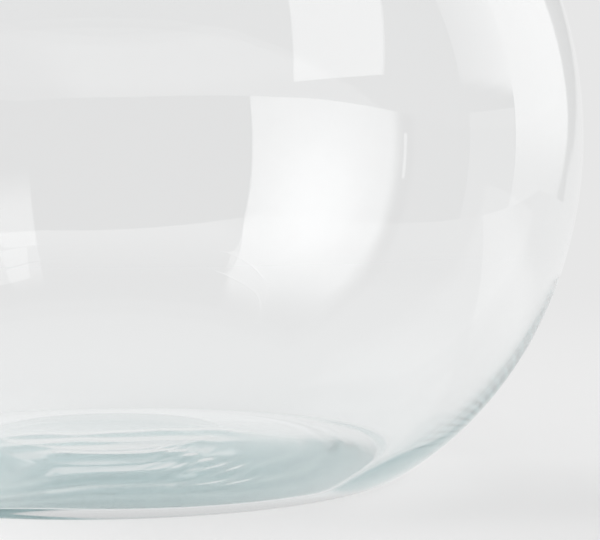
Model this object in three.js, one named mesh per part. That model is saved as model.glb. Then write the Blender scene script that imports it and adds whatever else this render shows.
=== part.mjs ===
// A round bowl vase blown from one gather of clear glass.
// Millimetres, +Z up. The origin is the middle of the foot, on the surface that the vase stands on.
// The section is worked out in the (r, z) half plane and turned once round the axis.
import * as THREE from "three";

// Driving dimensions: the outside
const bellyDiameter = 280; // across the widest ring
const bellyHeight = 98.4; // from the table up to the widest ring
const footDiameter = 166.6; // outer edge of the flat ring that touches the table
const footRingWidth = 17.3; // from that edge in to the hollow under the foot
const kickDepth = 1.2; // height of the hollow in its middle
const heelLean = THREE.MathUtils.degToRad(30); // rise of the wall where it leaves the heel
const heelRadius = 10; // rounding between the foot and the wall
const vaseHeight = 200; // from the table to the top of the rim
const mouthDiameter = 158; // clear opening inside the rim

// Driving dimensions: the glass
const wallThickness = 1.2; // even from the rim down to where the wall starts to thicken
const thickHeight = 65; // height below which the wall thickens
const heelThickness = 3.6; // what the wall grows towards at the table's level
const growth = 1.5; // power of the depth by which the wall thickens
const rimThickness = 3; // fire-polished edge, fuller than the wall
const cornerHeight = 6; // height on the outside where the inside starts to turn into the floor
const troughInset = 1.6; // from the foot's edge in to the lowest ring of the inside floor
const troughThickness = 2.9; // glass under that ring
const troughCurve = 8; // rounding from that ring up the flank of the dome
const domeDiameter = 64; // level top of the domed floor
const domeThickness = 8.6; // glass under the level top
const browCurve = 16; // rounding between the level top and the flank

// Smoothness of the turned surface
const turnSteps = 64;
const wallSteps = 12;
const edgeSteps = 6;
const bendSteps = 4;
const easeSteps = 2;

const quarter = Math.PI / 2;
const bellyRadius = bellyDiameter / 2;
const footRadius = footDiameter / 2;

const clearGlass = new THREE.MeshStandardMaterial({
  color: 0xd9ebea,
  roughness: 0.03,
  metalness: 0,
  transparent: true,
  opacity: 0.35,
});

// Points on an elliptical arc about (r, z); angles run from the outward direction towards +Z.
function arc(r, z, radiusR, radiusZ, from, to, steps) {
  const clockwise = to < from;
  return new THREE.EllipseCurve(r, z, radiusR, radiusZ, from, to, clockwise).getPoints(steps);
}

// Angle on an ellipse, with half width radiusR, at the horizontal distance dr from its centre.
function angleAt(dr, radiusR) {
  return Math.acos(dr / radiusR);
}

// Outside wall below the widest ring: the quarter ellipse that is upright at the belly
// and leaves the end of the heel rounding at the heel's own lean.
function lowerWall() {
  const heelEndR = footRadius + heelRadius * Math.sin(heelLean);
  const heelEndZ = heelRadius * (1 - Math.cos(heelLean));
  const reach = bellyRadius - heelEndR;
  const rise = bellyHeight - heelEndZ;
  const slope = (Math.tan(heelLean) * reach) / rise;
  const share = slope / (1 - slope);
  const halfWidth = reach / (1 - share);
  const halfHeight = rise / Math.sqrt(1 - share * share);
  return { centreR: bellyRadius - halfWidth, halfWidth, halfHeight, start: -Math.acos(share) };
}

const lower = lowerWall();

// Half height of an ellipse, centred at the belly's height, that passes through a point above it.
function halfHeightThrough(point, halfWidth) {
  const share = (point.x - lower.centreR) / halfWidth;
  return (point.y - bellyHeight) / Math.sqrt(1 - share * share);
}

// Rim: a round edge, square to the middle of the wall, from its outer to its inner side.
function rimEdge() {
  const radius = rimThickness / 2;
  const middle = new THREE.Vector2(mouthDiameter / 2 + radius, vaseHeight - radius);
  const width = lower.halfWidth - wallThickness / 2;
  const height = halfHeightThrough(middle, width);
  const angle = angleAt(middle.x - lower.centreR, width);
  const outward = Math.atan2(Math.sin(angle) / height, Math.cos(angle) / width);
  return arc(middle.x, middle.y, radius, radius, outward, outward + Math.PI, edgeSteps);
}

// Wall above the widest ring, of the given half width, from the belly up to a point on the rim.
function shoulder(point, halfWidth) {
  const end = angleAt(point.x - lower.centreR, halfWidth);
  const height = halfHeightThrough(point, halfWidth);
  return arc(lower.centreR, bellyHeight, halfWidth, height, 0, end, wallSteps);
}

// Foot from the axis out: a shallow hollow, the flat ring and the rounded heel.
function foot() {
  const kickRadius = footRadius - footRingWidth;
  const capRadius = (kickRadius * kickRadius + kickDepth * kickDepth) / (2 * kickDepth);
  const capAngle = Math.asin(kickRadius / capRadius);
  const kick = arc(0, kickDepth - capRadius, capRadius, capRadius, quarter, quarter - capAngle, bendSteps);
  kick[0].x = 0;
  kick[bendSteps].y = 0;
  const heel = arc(footRadius, heelRadius, heelRadius, heelRadius, -quarter, heelLean - quarter, bendSteps);
  return [...kick, ...heel];
}

// Inner wall from the belly down: the outer arc moved in along its normals by the wall's thickness.
function innerWall() {
  const end = -Math.asin((bellyHeight - cornerHeight) / lower.halfHeight);
  return Array.from({ length: wallSteps + 1 }, (_, step) => {
    const angle = (end * step) / wallSteps;
    const normal = new THREE.Vector2(Math.cos(angle) / lower.halfWidth, Math.sin(angle) / lower.halfHeight);
    const z = bellyHeight + lower.halfHeight * Math.sin(angle);
    const depth = Math.max(0, 1 - z / thickHeight);
    const thickness = wallThickness + (heelThickness - wallThickness) * depth ** growth;
    const point = new THREE.Vector2(lower.centreR + lower.halfWidth * Math.cos(angle), z);
    return point.addScaledVector(normal.normalize(), -thickness);
  });
}

// Inside floor from the end of the inner wall: round into the trough, up the flank and over the dome.
function floor(wall) {
  const troughRadius = footRadius - troughInset;
  const domeRadius = domeDiameter / 2;
  const wallEnd = wall[wall.length - 1];
  const down = wallEnd.clone().sub(wall[wall.length - 2]);
  const trough = new THREE.Vector2(troughRadius, troughThickness);
  const meeting = wallEnd.clone().addScaledVector(down, (troughThickness - wallEnd.y) / down.y);
  const corner = new THREE.QuadraticBezierCurve(wallEnd, meeting, trough).getPoints(bendSteps);

  // Slope of the straight flank that touches both the trough's rounding and the brow
  const run = troughRadius - domeRadius;
  const curves = troughCurve + browCurve;
  const drop = domeThickness - troughThickness - curves;
  const fall = Math.atan2(drop, run) + Math.asin(curves / Math.hypot(run, drop));
  const troughZ = troughThickness + troughCurve;
  const rise = arc(troughRadius, troughZ, troughCurve, troughCurve, -quarter, -quarter - fall, easeSteps);
  const browZ = domeThickness - browCurve;
  const brow = arc(domeRadius, browZ, browCurve, browCurve, quarter - fall, quarter, easeSteps);
  return [...corner.slice(1), ...rise.slice(1), ...brow, new THREE.Vector2(0, domeThickness)];
}

// Closed section of the glass, from the axis under the foot, round the outside and back inside to the axis.
function section() {
  const rim = rimEdge();
  const outsideLow = arc(
    lower.centreR, bellyHeight, lower.halfWidth, lower.halfHeight, lower.start, 0, wallSteps,
  );
  const outsideHigh = shoulder(rim[0], lower.halfWidth);
  const insideHigh = shoulder(rim[edgeSteps], lower.halfWidth - wallThickness).reverse();
  const insideLow = innerWall();
  return [
    ...foot(),
    ...outsideLow.slice(1),
    ...outsideHigh.slice(1),
    ...rim.slice(1),
    ...insideHigh.slice(1),
    ...insideLow.slice(1),
    ...floor(insideLow),
  ];
}

// Turns the section round the axis and lays the lathe's own Y axis along +Z.
function turned(points) {
  return new THREE.LatheGeometry(points, turnSteps).rotateX(quarter);
}

const glassBowl = new THREE.Mesh(turned(section()), clearGlass);
glassBowl.name = "glass_bowl";

const vase = new THREE.Group();
vase.add(glassBowl);

export default vase;
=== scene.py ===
# %% [markdown]
# # A blown-glass bowl vase, seen close
# The vase is one piece of clear glass: a heavy foot, a round belly and a mouth that is narrower than the
# belly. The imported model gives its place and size. This lesson turns a finer surface over it, gives it a
# glass that takes an aqua tint where it is thick, and sets it on a pale table under soft studio light.

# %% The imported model
from math import radians

import bpy
import numpy as np
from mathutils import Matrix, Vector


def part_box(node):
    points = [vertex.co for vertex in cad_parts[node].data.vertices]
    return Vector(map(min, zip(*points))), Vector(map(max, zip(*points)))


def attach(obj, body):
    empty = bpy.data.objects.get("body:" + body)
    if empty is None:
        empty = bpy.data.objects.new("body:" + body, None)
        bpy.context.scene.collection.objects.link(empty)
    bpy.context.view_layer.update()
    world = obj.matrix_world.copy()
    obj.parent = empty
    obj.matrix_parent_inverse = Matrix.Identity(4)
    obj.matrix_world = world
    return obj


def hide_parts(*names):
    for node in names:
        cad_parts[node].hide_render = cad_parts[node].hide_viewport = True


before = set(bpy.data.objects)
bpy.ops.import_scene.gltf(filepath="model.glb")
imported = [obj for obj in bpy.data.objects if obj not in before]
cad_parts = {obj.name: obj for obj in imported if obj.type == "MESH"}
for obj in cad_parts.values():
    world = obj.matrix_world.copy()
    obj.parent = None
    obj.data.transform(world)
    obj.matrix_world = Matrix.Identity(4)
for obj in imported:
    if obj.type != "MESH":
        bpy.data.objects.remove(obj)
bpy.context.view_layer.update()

print("nodes in the frame:", sorted(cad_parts))

# %% [markdown]
# ## Sizes
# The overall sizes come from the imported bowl. The rest are the glass maker's own sizes, in metres: where
# the belly is widest, how wide the foot and the mouth are, and how thick the glass is from place to place.
# The floor inside is a low dome: thick in the middle, thin in the trough that runs round it. Blown glass is
# never quite even, so the heel, where the wall turns into the foot, has a thickness of its own at the front,
# on the left and on the right.

# %% Sizes of the outside
low, high = (np.array(corner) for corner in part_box("glass_bowl"))
belly_radius = (high[0] - low[0]) / 2
vase_height = high[2] - low[2]
belly_height = 0.0984  # of the widest ring
foot_radius = 0.0833  # outer edge of the flat ring
kick_radius = 0.066  # of the hollow inside that ring
kick_depth = 0.0012
heel_curve = 0.010  # rounding between the foot and the wall
wall_lean = radians(30)  # of the wall where it leaves that rounding
mouth_radius = 0.079
rim_thickness = 0.003
print(f"belly {2000 * belly_radius:.0f} mm across, {1000 * vase_height:.0f} mm high")

# %% Sizes of the glass
wall_thickness = 0.0010
bead_height = 0.025  # over which the wall fills out to the rim
thick_height = 0.062  # below which the wall grows
heel_thickness = 0.0032  # what it grows towards at the table
growth = 1.1  # power of the depth by which it grows
trough_radius = 0.0817
trough_thickness = 0.0029
trough_curve = 0.008
dome_radius = 0.0335
dome_height = 0.0086
brow_curve = 0.016  # rounding between the dome's level top and its flank
print(f"wall {1000 * wall_thickness:.1f} mm, floor {1000 * dome_height:.1f} mm in the middle")

# %% Sizes of the heel
# Height where the inside starts to turn into the floor, and gain in thickness at the table
front_heel = (0.006, 0.0)
left_heel = (0.003, -0.0022)
right_heel = (0.006, 0.0012)
gain_height = 0.015  # up to which the heel gains
print(f"heel: {1000 * left_heel[1]:+.1f} mm on the left, {1000 * right_heel[1]:+.1f} mm on the right")

# %% [markdown]
# ## The section of the glass
# A blown bowl is round in plan, so its form is one section turned about the axis. Every stretch of the
# section is an elliptical arc, which is how a bubble of glass settles: upright at the belly, leaning in
# towards the foot and the mouth. The section could be drawn by hand as a curve; worked out from the sizes,
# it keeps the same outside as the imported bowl.


# %% Arcs and blends
def arc(r, z, half_r, half_z, start, end, count):
    """Points r + half_r cos(t), z + half_z sin(t), with t in even steps from start to end."""
    t = np.linspace(start, end, count)
    return np.stack([r + half_r * np.cos(t), z + half_z * np.sin(t)], axis=1)


def bend(start, corner, end, count):
    """Points of the curve from start to end whose end tangents meet in the corner: a quadratic blend."""
    t = np.linspace(0, 1, count)[:, None]
    return (1 - t) ** 2 * start + 2 * (1 - t) * t * corner + t**2 * end


def ease(t):
    """0 up to t = 0, 1 from t = 1, and 3t^2 - 2t^3 between."""
    t = np.clip(t, 0, 1)
    return t * t * (3 - 2 * t)


def between(value, start, rise, end, fall):
    """1 between start and end and 0 outside them, eased in over rise and out over fall."""
    return ease((value - start) / rise) * ease((end - value) / fall)


print("half way, an ease stands at", ease(0.5))


# %% Arc of the lower wall
def lower_wall(widest, foot, curve, rise):
    """Centre, half axes and lowest angle of the arc under the belly.

    The arc is upright at the widest radius and leans by wall_lean where a corner of radius curve takes it
    down to the foot radius, rise below the belly. Both conditions fix the ellipse.
    """
    reach = widest - foot - curve * np.sin(wall_lean)
    drop = rise - curve * (1 - np.cos(wall_lean))
    slope = np.tan(wall_lean) * reach / drop
    share = slope / (1 - slope)
    half_r = reach / (1 - share)
    return widest - half_r, half_r, drop / np.sqrt(1 - share**2), -np.arccos(share)


def half_height(point, centre, half_r):
    """Half height of the arc about (centre, belly_height), half width half_r, through a point above it."""
    return (point[1] - belly_height) / np.sqrt(1 - ((point[0] - centre) / half_r) ** 2)


up = np.pi / 2
outer_arc = lower_wall(belly_radius, foot_radius, heel_curve, belly_height)
print(f"lower wall: an arc {1000 * outer_arc[1]:.1f} mm wide and {1000 * outer_arc[2]:.1f} mm high")


# %% Outside
def rim():
    """Half circle over the mouth's edge, square to the middle of the wall."""
    centre, half_r, _, _ = outer_arc
    radius = rim_thickness / 2
    middle = np.array([mouth_radius + radius, vase_height - radius])
    width = half_r - wall_thickness / 2
    height = half_height(middle, centre, width)
    angle = np.arccos((middle[0] - centre) / width)
    out = np.arctan2(np.sin(angle) / height, np.cos(angle) / width)
    return arc(*middle, radius, radius, out, out + np.pi, count=13)


def outside():
    """From the axis under the foot: hollow kick, flat ring, rounded heel, wall and rim, as (r, z) rows."""
    centre, half_r, half_z, start = outer_arc
    cap = (kick_radius**2 + kick_depth**2) / (2 * kick_depth)
    cap_angle = np.arcsin(kick_radius / cap)
    kick = arc(0, kick_depth - cap, cap, cap, up, up - cap_angle, count=9)
    ring = np.linspace((kick_radius, 0), (foot_radius, 0), 7)[1:-1]
    heel = arc(foot_radius, heel_curve, heel_curve, heel_curve, -up, wall_lean - up, count=10)
    wall = arc(centre, belly_height, half_r, half_z, start, 0, count=40)
    rim_arc = rim()
    top = half_height(rim_arc[0], centre, half_r)
    end = np.arccos((rim_arc[0, 0] - centre) / half_r)
    shoulder = arc(centre, belly_height, half_r, top, 0, end, count=22)
    return np.concatenate([kick, ring, heel, wall[1:], shoulder[1:], rim_arc[1:]])


outer_rows = outside()
print(f"outside: {len(outer_rows)} points")


# %% Thickness
def lower_thickness(z, gain):
    """Even above thick_height; below it the wall grows as the depth to the power of growth.

    From gain_height down, the heel takes on a further share, the gain, that eases in towards the table.
    """
    depth = np.clip(1 - z / thick_height, 0, 1)
    grown = (heel_thickness - wall_thickness) * depth**growth
    return wall_thickness + grown + gain * ease(1 - z / gain_height)


def upper_thickness(z):
    """Even up to the last bead_height, where the wall fills out to the fire-polished rim."""
    return wall_thickness + (rim_thickness - wall_thickness) * ease((z - vase_height) / bead_height + 1)


def moved_in(half_z, t, thickness):
    """Points of the outer arc at the angles t, moved inwards along its normals by the thickness."""
    centre, half_r, _, _ = outer_arc
    points = np.stack([centre + half_r * np.cos(t), belly_height + half_z * np.sin(t)], axis=1)
    normals = np.stack([np.cos(t) / half_r, np.sin(t) / half_z], axis=1)
    normals /= np.linalg.norm(normals, axis=1, keepdims=True)
    return points - normals * thickness(points[:, 1:])


print(f"the wall grows to {1000 * lower_thickness(0, 0):.1f} mm at the table")


# %% Inside
def flank_angle():
    """Slope of the straight flank that touches both the trough's curve and the brow of the dome.

    With run and drop between the two curves' ends and s the sum of their radii, the tangent line's
    angle t solves run sin(t) - (drop - s) cos(t) = s.
    """
    run = trough_radius - dome_radius
    total = trough_curve + brow_curve
    drop = dome_height - trough_thickness - total
    return np.arctan2(drop, run) + np.arcsin(total / np.hypot(run, drop))


def inside(corner_height, gain):
    """From the rim down the inner wall, round the trough and up the dome to its middle, as (r, z) rows.

    The corner height is where, on the outside, the inner wall starts to turn into the floor.
    """
    centre, half_r, half_z, _ = outer_arc
    edge = rim()[0]
    top = half_height(edge, centre, half_r)
    shoulder = moved_in(top, np.linspace(np.arccos((edge[0] - centre) / half_r), 0, 26), upper_thickness)
    lowest = -np.arcsin((belly_height - corner_height) / half_z)
    wall = moved_in(half_z, np.linspace(0, lowest, 50), lambda z: lower_thickness(z, gain))
    slope = wall[-1] - wall[-2]
    fall = flank_angle()
    base = trough_thickness + trough_curve
    trough = arc(trough_radius, base, trough_curve, trough_curve, -up, -up - fall, count=8)
    meeting = wall[-1] + slope * (trough_thickness - wall[-1, 1]) / slope[1]
    corner = bend(wall[-1], meeting, trough[0], count=12)
    brow = arc(dome_radius, dome_height - brow_curve, brow_curve, brow_curve, up - fall, up, count=8)
    flank = np.linspace(trough[-1], brow[0], 52)
    level = np.linspace(brow[-1], (0, dome_height), 34)
    return np.concatenate([shoulder[1:], wall[1:], corner[1:], trough[1:], flank[1:], brow[1:], level[1:]])


front_rows = inside(*front_heel)
left_rows = inside(*left_heel)
right_rows = inside(*right_heel)
print(f"inside: {len(front_rows)} points, at the front, on the left and on the right")

# %% [markdown]
# ## Waves in the floor
# The gather chills from the middle while it still moves, so the inside floor keeps soft waves. A level
# terrace breaks the near flank, thin wrinkles cross the top of the dome, and on the near right a fan of
# fine waves winds outwards. A bump map would only tilt the shading, and the light that runs along the base
# has to meet real slopes, so each wave is a height that is added to the surface.

# %% Terrace
terrace_rise = 0.0009
terrace_edges = (0.0355, 0.041, 0.061)  # where it starts, ends and is let down, from the middle
terrace_turn = -1.51  # its middle, as an angle round the axis
terrace_width = 0.55  # to either side of that
terrace_fade = 0.2


def terrace(r, turn):
    """Rise that levels the near flank between the first two edges, let down again to the third."""
    step = np.interp(r, terrace_edges, (0, terrace_rise, 0))
    return step * ease((terrace_width - np.abs(turn - terrace_turn)) / terrace_fade)


print(f"terrace: {1000 * terrace(terrace_edges[1], terrace_turn):.1f} mm above the flank")

# %% Fan
fan_height = 0.00013
fan_pitch = 0.0040  # from crest to crest
fan_wind = 0.016  # how far a crest winds inwards for each radian
fan_turn = -1.08
fan_width = 0.20
fan_reach = (0.030, 0.010, 0.076, 0.02)  # start, rise, end and fall, from the middle


def fan(r, turn):
    """Fine waves, a sine over the radius whose crests wind inwards to the right, in a wedge there."""
    wedge = np.exp(-(((turn - fan_turn) / fan_width) ** 2)) * between(r, *fan_reach)
    waver = 1.5 * np.sin(3 * turn + 260 * r)
    return fan_height * np.sin(2 * np.pi * (r + fan_wind * turn) / fan_pitch + waver) * wedge


print(f"fan: waves {2000 * fan_height:.2f} mm high, {1000 * fan_pitch:.0f} mm apart")

# %% Wrinkles
# Middle across and along the view, length and height of each swell, in millimetres
swells = [(-20, -10, 8, 0.5), (-8, -21, 9, 0.5), (2, -8, 8, 0.4), (16, -6, 8, 0.6), (30, -6, 7, 0.6)]
swell_breadth = 3.5
swell_slant = 0.1


def wrinkles(x, y):
    """Low swells on the dome: the sum of a few long, flat bell curves that lie across the view."""
    total = 0 * x
    for middle_x, middle_y, length, height in swells:
        across = 1000 * x - middle_x
        along = 1000 * y - middle_y - swell_slant * across
        total = total + 0.001 * height * np.exp(-((across / length) ** 2) - (along / swell_breadth) ** 2)
    return total


print("swells on the dome:", len(swells))

# %% All waves
ring_height = 0.0001
ring_pitch = 0.009
ring_reach = (0.05, 0.01, 0.078, 0.01)  # start, rise, end and fall, from the middle
sag_height = 0.0004
sag_radius = 0.08  # where the sag has its full height
sag_end = 0.105
sag_fall = 0.02


def ripples(x, y):
    """Height of all the floor's waves at (x, y): their sum, with faint outer rings and a slow sag.

    The rings are a sine over the radius that drifts with the turn; the sag swings twice a turn and grows
    as the radius squared.
    """
    r = np.hypot(x, y)
    turn = np.arctan2(y, x)
    drift = 0.9 * np.sin(2 * turn + 0.7) + 0.6 * np.sin(3 * turn - 1.1) + 0.4 * np.sin(5 * turn + 2.0)
    rings = ring_height * np.sin(2 * np.pi * r / ring_pitch + 2.0 * drift)
    outer_rings = rings * between(r, *ring_reach)
    sag = sag_height * (r / sag_radius) ** 2 * np.sin(2 * turn + 0.4) * ease((sag_end - r) / sag_fall)
    return sag + outer_rings + terrace(r, turn) + fan(r, turn) + wrinkles(x, y)


probe = np.meshgrid(np.linspace(-0.08, 0.08, 161), np.linspace(-0.08, 0.08, 161))
print(f"waves up to {1000 * np.abs(ripples(*probe)).max():.2f} mm high")

# %% [markdown]
# ## The turned surface
# The section goes round the axis in even steps. The outside and the inside meet over the rim, so the glass
# is one closed skin, and each end closes in a fan at the axis. A Screw modifier could turn the section too,
# but this bowl is off-round inside: the three heels blend into each other round the axis, the flank of the
# dome sits a few millimetres to the right of the foot, and the bore lies a little towards the back. On a
# grid of points, each of these is one line.

# %% Left and right round the axis
columns = 356
left_reach = (0, 0.5, 2.6, 0.7)  # start, rise, end and fall of the left heel, in radians from the front
right_start = 0.6  # cosine of the turn from which the right heel sets in
right_rise = 0.3

turn = np.arange(columns) * 2 * np.pi / columns
leftward = np.mod(-up - turn, 2 * np.pi)
on_left = between(leftward, *left_reach)[:, None]
on_right = ease((np.cos(turn) - right_start) / right_rise)[:, None]
print(columns, "columns,", np.count_nonzero(on_left), "left and", np.count_nonzero(on_right), "right")

# %% The inner surface
floor_top = 0.03  # below which the inside counts as floor
floor_shift = 0.004  # of the dome's flank, to the right
flank_reach = (0.036, 0.02, 0.077, 0.016)  # start, rise, end and fall of that, from the middle
bore_shift = 0.0006  # of the whole inside, towards the back
bore_top = 0.18  # up to which the bore is shifted
bore_fade = 0.06


def turned(rows, turn):
    """Each row (r, z) carried round the axis: x = r cos(a), y = r sin(a), for every angle a of the turn."""
    x = rows[:, :1] * np.cos(turn)
    y = rows[:, :1] * np.sin(turn)
    z = np.repeat(rows[:, 1:], len(turn), axis=1)
    return np.stack([x, y, z], axis=2)


inner = turned(front_rows[:-1], turn)
inner += on_left * (turned(left_rows[:-1], turn) - inner)
inner += on_right * (turned(right_rows[:-1], turn) - inner)
out = np.hypot(inner[..., 0], inner[..., 1])
on_floor = inner[..., 2] < floor_top
inner[..., 2] += on_floor * ripples(inner[..., 0], inner[..., 1])
inner[..., 0] += on_floor * floor_shift * between(out, *flank_reach)
inner[..., 1] += bore_shift * ease((bore_top - inner[..., 2]) / bore_fade)
print(f"lowest point of the floor: {1000 * inner[..., 2].min():.2f} mm over the table")


# %% The bowl
def placed(name, data):
    """An object at the origin that holds a mesh, a lamp or a camera."""
    thing = bpy.data.objects.new(name, data)
    bpy.context.scene.collection.objects.link(thing)
    return thing


def closed_mesh(name, grid, first, last):
    """A mesh of quads over a grid that wraps round, closed at both ends by a fan to one point."""
    rows, columns, _ = grid.shape
    index = np.arange(rows * columns).reshape(rows, columns)
    right = np.roll(index, -1, axis=1)
    quads = np.stack([index[:-1], right[:-1], right[1:], index[1:]], axis=2).reshape(-1, 4)
    start, end = rows * columns, rows * columns + 1
    fan_start = np.stack([np.full(columns, start), right[0], index[0]], axis=1)
    fan_end = np.stack([np.full(columns, end), index[-1], right[-1]], axis=1)
    points = np.concatenate([grid.reshape(-1, 3), [first], [last]])
    mesh = bpy.data.meshes.new(name)
    mesh.from_pydata(points.tolist(), [], quads.tolist() + fan_start.tolist() + fan_end.tolist())
    mesh.polygons.foreach_set("use_smooth", np.ones(len(mesh.polygons), dtype=bool))
    mesh.update()
    return placed(name, mesh)


outer = turned(outer_rows[1:], turn)
skin = np.concatenate([outer, inner])
bowl = closed_mesh("blown_bowl", skin, (0, 0, kick_depth), (0, bore_shift, dome_height))
print(f"{bowl.name}: {len(bowl.data.polygons)} faces")

# %% [markdown]
# ## Shader expressions
# A material is arithmetic on sockets, and nodes placed one by one are hard to read back. This class lets
# Python write that arithmetic as an expression, and one method adds any other node.


# %% Shader expressions
class Wire:
    """A socket that takes part in Python expressions; each operator adds a Math node."""

    def __init__(self, tree, socket=None):
        self.tree = tree
        self.socket = socket

    def node(self, kind, inputs=None, output=0, **settings):
        """Adds a node, fills its sockets with values or wires, and gives one of its outputs as a wire."""
        made = self.tree.nodes.new(kind)
        for name, value in settings.items():
            setattr(made, name, value)
        for key, value in (inputs or {}).items():
            if isinstance(value, Wire):
                self.tree.links.new(value.socket, made.inputs[key])
            else:
                made.inputs[key].default_value = value
        return Wire(self.tree, made.outputs[output]) if len(made.outputs) else None

    def math(self, operation, a, b):
        """A Math node on two values or wires."""
        return self.node("ShaderNodeMath", {0: a, 1: b}, operation=operation)

    def __add__(self, other):
        return self.math("ADD", self, other)

    __radd__ = __add__

    def __mul__(self, other):
        return self.math("MULTIPLY", self, other)

    __rmul__ = __mul__

    def __sub__(self, other):
        return self.math("SUBTRACT", self, other)

    def __rsub__(self, other):
        return self.math("SUBTRACT", other, self)

    def __gt__(self, other):
        return self.math("GREATER_THAN", self, other)

    def __lt__(self, other):
        return self.math("LESS_THAN", self, other)

    def __or__(self, other):
        return self.math("MAXIMUM", self, other)


# %% Ramps and new materials
def ramp(value, start, end, first=0.0, last=1.0):
    """A wire that is first up to start and last from end on, with a smooth step between."""
    limits = {"Value": value, "From Min": start, "From Max": end, "To Min": first, "To Max": last}
    return value.node("ShaderNodeMapRange", limits, interpolation_type="SMOOTHSTEP")


def fading(value, start, end):
    """A wire that is 1 up to start and 0 from end on."""
    return ramp(value, start, end, 1.0, 0.0)


def new_material(name):
    """An empty material and a wire to build it with."""
    material = bpy.data.materials.new(name)
    material.use_nodes = True
    material.node_tree.nodes.clear()
    return material, Wire(material.node_tree)


print("shader expressions ready")

# %% [markdown]
# ## Clear glass
# The thin wall is free of colour and the heavy base is pale aqua: a trace of iron in the melt takes red
# light away along the light's path. A tinted surface would colour wall and base alike, so the surface stays
# white and the tint is an absorbing volume, which colours the base by its thickness alone. The ring that
# the vase stands on is slightly worn. Shadow rays pass nearly unchanged, since a clear bowl hardly darkens
# the table.

# %% Glass
white = (1, 1, 1, 1)
shadow_tint = (0.985, 0.99, 0.99, 1)
base_tint = (0.0, 0.36, 0.38, 1)
tint_density = 6.5
glass_index = 1.5
worn_height = 0.0014  # up to which the foot is worn
worn_roughness = 0.09


def clear_glass():
    """Polished glass whose tint comes only from the length of the light's way through it."""
    material, wire = new_material("clear_glass")
    place = wire.node("ShaderNodeTexCoord", output="Object")
    height = wire.node("ShaderNodeSeparateXYZ", {0: place}, "Z")
    worn = (height < worn_height) * worn_roughness
    look = {"Base Color": white, "Roughness": worn, "IOR": glass_index, "Transmission Weight": 1.0}
    glass = wire.node("ShaderNodeBsdfPrincipled", look)
    passing = wire.node("ShaderNodeBsdfTransparent", {"Color": shadow_tint})
    shadow = wire.node("ShaderNodeLightPath", output="Is Shadow Ray")
    surface = wire.node("ShaderNodeMixShader", {0: shadow, 1: glass, 2: passing})
    tint = wire.node("ShaderNodeVolumeAbsorption", {"Color": base_tint, "Density": tint_density})
    wire.node("ShaderNodeOutputMaterial", {"Surface": surface, "Volume": tint})
    return material


bowl.data.materials.append(clear_glass())
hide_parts("glass_bowl")
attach(bowl, "root")
print("the bowl wears", bowl.data.materials[0].name)

# %% [markdown]
# ## A pale table
# Clear glass shows little but its surroundings, so the studio is what draws it. The table is matt white
# and melts into the pale room behind. What the glass shows of it straight through and what it mirrors get
# levels of their own, painted into the table's glow where a photographer would set cards and flags. The
# table's light and shade are painted there as well: a painted shadow in a band right of the vase, where
# the glass bends light away, and painted light close to the heel, where the glass gathers some of it. The
# table's front edge is what the wall mirrors as a line; the floor under it carries the same white on to
# every side, for other views.

# %% Levels
pale = 0.80  # of the room and the far table
room_dim = 0.55  # of the room on the camera's side, as the wall mirrors it
table_glow = 0.84  # of the table near the vase
table_share = 0.74  # of that level in what is seen; the rest is the lamp's light and the vase's shadow
near_faces = 3  # glass faces on a ray's way; more of them mean that the far wall mirrored it


def seen_through(wire):
    """Switches: the stage seen straight through the glass, mirrored in it once, and mirrored more often."""
    turns = wire.node("ShaderNodeLightPath", output="Glossy Depth")
    passed = wire.node("ShaderNodeLightPath", output="Is Transmission Ray")
    mirrored = wire.node("ShaderNodeLightPath", output="Is Glossy Ray") | passed
    straight = (wire.node("ShaderNodeLightPath", output="Is Camera Ray") | passed) * (turns < 0.5)
    often = mirrored * (turns > 1.5)
    once = mirrored * (turns > 0.5) - often
    return straight, once, often


print("table level straight through the glass:", table_glow)

# %% Table seen straight through
# Levels of painted light and shade in the table's glow, as seen straight through the glass
left_light = 0.075
right_shade = 0.05
under_light = 0.16
band_shade = 0.035
heel_light = 0.05


def straight_level(x, y, away, far):
    """The table as seen directly: lighter to the left, a faint shadow to the right, light by the heel.

    Each form of painted light or shade is a product of ramps over the place, in metres, times its strength.
    """
    # Masks of painted light (left, under, gathered) and of painted shadow (right, band)
    left = ramp(x, -0.30, -0.12) * fading(x, -0.035, 0.02) * fading(y, 0.06, 0.16)
    right = ramp(x, 0.05, 0.14) * ramp(y, -0.045, 0.02, 1.0, -0.25)
    under = fading(away, 0.055, 0.075) * ramp(y, -0.02, 0.02)
    band = ramp(y, -0.115, -0.08) * fading(y, -0.075, -0.03) * ramp(x, 0.02, 0.09)
    gathered = ramp(away, 0.084, 0.092) * fading(away, 0.092, 0.125) * ramp(x, 0.05, 0.08)
    side = left_light * left - right_shade * right
    near = table_glow + side + under_light * under - band_shade * band + heel_light * gathered
    return near + (pale - near) * far


print("lighter by", left_light, "on the left, darker by", right_shade, "on the right")

# %% Table mirrored once
# Painted light and shade on the table as the glass mirrors it once
mirrored_gain = 1.08
foot_shade = 0.28
front_level = 0.70
close_light = 0.20
front_start = -0.05  # the front is the table nearer than this
right_light = 0.20


def mirrored_level(x, y, away, faces):
    """The table as mirrored once: shaded at the foot, lit towards its front edge and to the right."""
    # Painted shade at the foot, painted light near it, towards the front edge and to the right
    foot = mirrored_gain - foot_shade * fading(away, 0.083, 0.092) * fading(y, -0.06, -0.03)
    lit = ramp(x, 0.10, 0.18, 1.28, 0.80)
    close = close_light * fading(away, 0.13, 0.19)
    near = front_level + close + (lit - front_level) * ramp(away, 0.19, 0.34)
    in_far_wall = faces > near_faces
    far_front = ramp(x, 0.02, 0.10, 1.32, 0.95) * ramp(away, 0.22, 0.30, 1.0, 0.86)
    front = near + (far_front - near) * in_far_wall
    level = pale + (front - pale) * (y < front_start) * (ramp(away, 0.10, 0.13) | in_far_wall)
    right = ramp(x, 0.12, 0.30) * (y > front_start) * fading(y, 0.0, 0.12)
    return foot * (level + right_light * right)


print("shade at the foot, as the glass mirrors it:", foot_shade)


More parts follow.
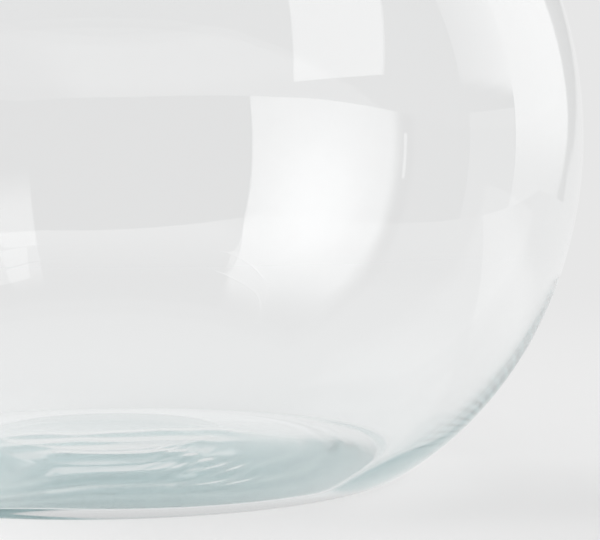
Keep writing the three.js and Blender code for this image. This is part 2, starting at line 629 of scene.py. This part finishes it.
# %% White of the table
def table_white(name, mirrored):
    """Matt white with the levels above; where it is not mirrored, mirrored rays pass through it."""
    material, wire = new_material(name)
    straight, once, often = seen_through(wire)
    place = wire.node("ShaderNodeTexCoord", output="Object")
    x = wire.node("ShaderNodeSeparateXYZ", {0: place}, "X")
    y = wire.node("ShaderNodeSeparateXYZ", {0: place}, "Y")
    away = wire.node("ShaderNodeVectorMath", {0: place}, "Value", operation="LENGTH")
    faces = wire.node("ShaderNodeLightPath", output="Transmission Depth")
    far = ramp(y, 0.1, 0.9) | ramp(away, 0.3, 1.1)
    level = (straight + often) * straight_level(x, y, away, far) + once * mirrored_level(x, y, away, faces)
    # The glow carries the painted light and shade; the matt part, the lamp's light and the vase's shadow
    glow = wire.node("ShaderNodeEmission", {"Color": level, "Strength": 1.0})
    matt = wire.node("ShaderNodeBsdfDiffuse", {"Color": (pale, pale, pale, 1)})
    share = straight * (table_share + (1 - table_share) * far) + once + often
    surface = wire.node("ShaderNodeMixShader", {0: share, 1: matt, 2: glow})
    if not mirrored:
        clear = wire.node("ShaderNodeBsdfTransparent")
        surface = wire.node("ShaderNodeMixShader", {0: once + often, 1: surface, 2: clear})
    wire.node("ShaderNodeOutputMaterial", {"Surface": surface})
    material.cycles.emission_sampling = "NONE"
    return material


# Both finishes are white, with painted light and shade in their glow
table_white_and_painted_light = table_white("table_white", True)
floor_white_and_painted_light = table_white("floor_white", False)
print("finishes:", table_white_and_painted_light.name, "and", floor_white_and_painted_light.name)

# %% Table and floor
table_top = -0.0002
floor_level = -0.0004


def staged(name, mesh):
    """An object of the studio, which is no part of the vase."""
    piece = placed(name, mesh)
    return piece


def flat_face(name, outline, height):
    """One level face with the given outline."""
    mesh = bpy.data.meshes.new(name)
    mesh.from_pydata([(x, y, height) for x, y in outline], [], [tuple(range(len(outline)))])
    mesh.update()
    return staged(name, mesh)


front_edge = [(-3.0, 0.84), (-0.06, -0.32), (0.18, -0.34), (0.60, 0.10), (3.0, 2.7)]
table = flat_face("table", front_edge + [(3.0, 4.0), (-3.0, 4.0)], table_top)
table.data.materials.append(table_white_and_painted_light)
floor = flat_face("floor", [(-4, -4), (4, -4), (4, 4), (-4, 4)], floor_level)
floor.data.materials.append(floor_white_and_painted_light)
print("table set, its top at", table.data.vertices[0].co.z)

# %% [markdown]
# ## Light panels
# The bright and dark shapes in the wall are a softbox on the left, cards on the right, a strip close to
# the front and a dark flag behind the right card. The wall's near side shows them upright and its far side
# upside down. Area lamps would be even all over and would light the table too. So each panel is a grid whose
# level is worked out point by point, and only mirrored rays see it: the panels never stand in the picture
# themselves.

# %% Light of a panel
most_faces = 99
near_wall = (-1, near_faces)
far_wall = (near_faces, most_faces)
both_walls = (-1, most_faces)


def panel_light(name, depths):
    """Shows the grid's level to rays mirrored once, after a count of glass faces between the two depths."""
    material, wire = new_material(name)
    _, once, _ = seen_through(wire)
    faces = wire.node("ShaderNodeLightPath", output="Transmission Depth")
    shown = once * (faces > depths[0]) * (faces < depths[1])
    level = wire.node("ShaderNodeAttribute", output="Fac", attribute_name="level")
    light = wire.node("ShaderNodeEmission", {"Color": level, "Strength": 1.0})
    clear = wire.node("ShaderNodeBsdfTransparent")
    surface = wire.node("ShaderNodeMixShader", {0: shown, 1: clear, 2: light})
    wire.node("ShaderNodeOutputMaterial", {"Surface": surface})
    material.cycles.emission_sampling = "NONE"
    return material


print("glass faces on the way, for panels in the near wall:", near_wall)

# %% Panel maker
panel_steps = 41


def light_panel(name, corners, glow, depths=both_walls):
    """A panel between four corners, each point a blend of them by its share u across and v up.

    The function glow(u, v) gives its level, and depths say which of the bowl's walls show it.
    """
    u, v = np.meshgrid(np.linspace(0, 1, panel_steps), np.linspace(0, 1, panel_steps))
    a, b, c, d = (np.array(corner) for corner in corners)
    shares = [((1 - u) * (1 - v), a), (u * (1 - v), b), (u * v, c), ((1 - u) * v, d)]
    points = sum(share[..., None] * corner for share, corner in shares)
    index = np.arange(u.size).reshape(u.shape)
    quads = np.stack([index[:-1, :-1], index[:-1, 1:], index[1:, 1:], index[1:, :-1]], axis=2)
    mesh = bpy.data.meshes.new(name)
    mesh.from_pydata(points.reshape(-1, 3).tolist(), [], quads.reshape(-1, 4).tolist())
    levels = glow(u, v).ravel().astype(np.float32)
    mesh.attributes.new("level", "FLOAT", "POINT").data.foreach_set("value", levels)
    panel = staged(name, mesh)
    panel.data.materials.append(panel_light(name, depths))
    panel.visible_camera = False
    panel.visible_diffuse = False
    panel.visible_shadow = False
    print(f"{name}: levels {levels.min():.2f} to {levels.max():.2f}")


print("each panel is a grid of", panel_steps, "by", panel_steps, "points")

# %% Softbox
softbox_rise = (-0.4, 1.8)


def upright(azimuth, distance, width, rise):
    """Corners of an upright panel that faces the axis: azimuth from the camera's side, + to its right.

    Width and rise are its two ends along the panel and over the table.
    """
    a = radians(azimuth)
    out = np.array([np.sin(a), -np.cos(a), 0]) * distance
    along = np.array([np.cos(a), np.sin(a), 0])
    over = np.array([0, 0, 1.0])
    ends = ((width[0], rise[0]), (width[1], rise[0]), (width[1], rise[1]), (width[0], rise[1]))
    return [out + along * s + over * h for s, h in ends]


def on_span(span, share):
    """The place at a share of the way between the two ends of a span."""
    return span[0] + (span[1] - span[0]) * share


def past(value, edge, width):
    """0 well before the edge and 1 well past it, eased over a width that has the edge in its middle."""
    return ease((value - edge) / width + 0.5)


def softbox_glow(u, v):
    """Brightest near its middle, soft along one side, narrower and fading out towards its top."""
    height = on_span(softbox_rise, v)
    edge = np.interp(height, [0.9, 1.4], [1.1, 0.90])
    spot = np.exp(-(((u - 0.60) / 0.33) ** 2) - ((height - 0.42) / 0.46) ** 2)
    fade = ease((1.75 - height) / 0.9) * ease((u - 0.03) / 0.12) * past(edge, u, 0.06)
    return room_dim + (1.65 + 1.7 * spot) * fade


light_panel("softbox_left", upright(-62, 1.1, (-0.64, 0.39), softbox_rise), softbox_glow)

# %% Cards on the right
card_rise = (-0.08, 1.2)
high_card_rise = (0.18, 1.2)
flag_level = 0.68


def card_glow(u, v):
    """Falls towards its rear edge and towards the table; low down the flag covers its rear edge."""
    height = on_span(card_rise, v)
    level = (1.40 - 0.32 * u) * (0.76 + 0.24 * ease(height / 0.16)) * (1 + 0.3 * np.clip(height - 0.2, 0, 1))
    edge = np.interp(height, [0.02, 0.05, 0.11, 0.21], [0.80, 0.86, 0.95, 1.05])
    return level + (flag_level - level) * past(u, edge, 0.05)


def high_card_glow(u, v):
    """Rises towards the other card, soft along its bottom, which hangs lower on that side."""
    height = on_span(high_card_rise, v)
    bottom = np.interp(u, [0.0, 1.0], [0.262, 0.20])
    return room_dim + (0.32 + 0.5 * u) * ease((height - bottom) / 0.042)


light_panel("card_right", upright(112, 0.9, (-0.19, 0.30), card_rise), card_glow)
light_panel("card_right_high", upright(112, 0.92, (-0.52, -0.19), high_card_rise), high_card_glow)

# %% Flag and gap on the right
flag_width = (-0.27, 0.27)
flag_rise = (-0.02, 1.2)
flag_surround = 0.85


def flag_glow(u, v):
    """Dark inside a rear edge that leans back with height, and as pale as the room outside it."""
    across = on_span(flag_width, u)
    height = on_span(flag_rise, v)
    edge = np.interp(height, [0.0, 0.03, 0.1, 0.2, 0.3, 0.5], [-0.32, -0.29, -0.16, -0.02, 0.085, 0.20])
    return flag_surround + (flag_level - flag_surround) * past(edge, across, 0.04)


def even(level):
    """The same level all over a panel."""
    return lambda u, v: np.full_like(u, level)


light_panel("flag_right", upright(145, 0.98, flag_width, flag_rise), flag_glow, near_wall)
light_panel("gap_right", upright(64.5, 0.9, (-0.006, 0.006), (-0.02, 0.12)), even(1.7), near_wall)

# %% Strip in front and card at the rear left
strip_low = 0.129
strip_high = 0.39


def strip_glow(u, v):
    """Upside down in the far wall: faint at the bottom, brightest in the middle, faded at the top."""
    return room_dim + 1.3 * ease(v / 0.3) * ease((1 - v) / 0.35)


def strip(foot_left, foot_right, head_right, head_left):
    """Corners of a strip that stands on two points of the plan and ends over two others."""
    feet = [(*foot_left, strip_low), (*foot_right, strip_low)]
    return feet + [(*head_right, strip_high), (*head_left, strip_high)]


near_strip = strip((0.101, -0.195), (0.1315, -0.152), (0.173, -0.0945), (0.1205, -0.1675))
far_strip = strip((0.100, -0.197), (0.136, -0.147), (0.136, -0.147), (0.100, -0.197))
light_panel("strip_front", near_strip, even(1.8), near_wall)
light_panel("strip_front_far", far_strip, strip_glow, far_wall)
light_panel("card_left_rear", upright(-130, 0.9, (-0.40, 0.06), (0.2, 1.2)), even(1.0))

# %% [markdown]
# ## The room and the lamp
# The room is pale behind the vase, as seen in the picture, and dimmer on the camera's side, which the wall
# mirrors as a soft grey band. Walls could be modelled, but a world that answers by direction has no corners
# to hide. A large lamp from the left lays the light on the table.

# %% Room
fill_level = 0.75  # of the room as a light on the table
overhead = 0.85  # upward share of a direction from which the room is pale on every side

world = bpy.data.worlds.new("studio")
bpy.context.scene.world = world
world.use_nodes = True
world.node_tree.nodes.clear()
wire = Wire(world.node_tree)
straight, once, often = seen_through(wire)
way = wire.node("ShaderNodeTexCoord", output="Generated")
y = wire.node("ShaderNodeSeparateXYZ", {0: way}, "Y")
z = wire.node("ShaderNodeSeparateXYZ", {0: way}, "Z")
behind = (y > 0.0) | (z > overhead)
room = room_dim + (pale - room_dim) * behind
level = (straight + often) * pale + once * room + (1 - straight - once - often) * fill_level
background = wire.node("ShaderNodeBackground", {"Color": level, "Strength": 1.0})
wire.node("ShaderNodeOutputWorld", {"Surface": background})
print("room level behind the vase:", pale)

# %% Lamp
key = bpy.data.lights.new("key_lamp", "AREA")
key.shape = "RECTANGLE"
key.size = 1.0
key.size_y = 1.2
key.energy = 14
key_lamp = placed("key_lamp", key)
key_lamp.location = (-1.0, -0.5, 1.0)
key_lamp.rotation_euler = (radians(48), 0, radians(-63))
key_lamp.visible_camera = False
key_lamp.visible_glossy = False
key_lamp.visible_transmission = False
print("lamp:", key.energy, "W")

# %% [markdown]
# ## The view
# The photographer stood close, a little above the foot, with a long lens, and framed the lower right part
# of the bowl. The camera is turned to that part, because a shifted lens would shift every other view too.

# %% Camera
eye_distance = 0.602
eye_height = 0.0916
look_down = radians(3.032)
look_right = radians(5.477)

camera_data = bpy.data.cameras.new("camera")
camera = placed("camera", camera_data)
bpy.context.scene.camera = camera
camera.location = (0, -eye_distance, eye_height)
camera.rotation_euler = (up - look_down, 0, -look_right)
camera_data.sensor_width = 36
camera_data.sensor_fit = "HORIZONTAL"
camera_data.lens = 121.22
camera_data.clip_start = 0.01
print(f"lens {camera_data.lens:.0f} mm, {1000 * eye_distance:.0f} mm from the axis")

# %% [markdown]
# ## Light through glass
# Light runs along the base many times before it leaves, and a path that is cut off turns black. So the
# limits on bounces are high.

# %% Bounces
glass_bounces = 128
panel_layers = 40

scene = bpy.context.scene
scene.view_settings.view_transform = "Standard"
scene.cycles.max_bounces = glass_bounces
scene.cycles.glossy_bounces = glass_bounces
scene.cycles.transmission_bounces = glass_bounces
scene.cycles.transparent_max_bounces = panel_layers
print("bounces in the glass:", glass_bounces)
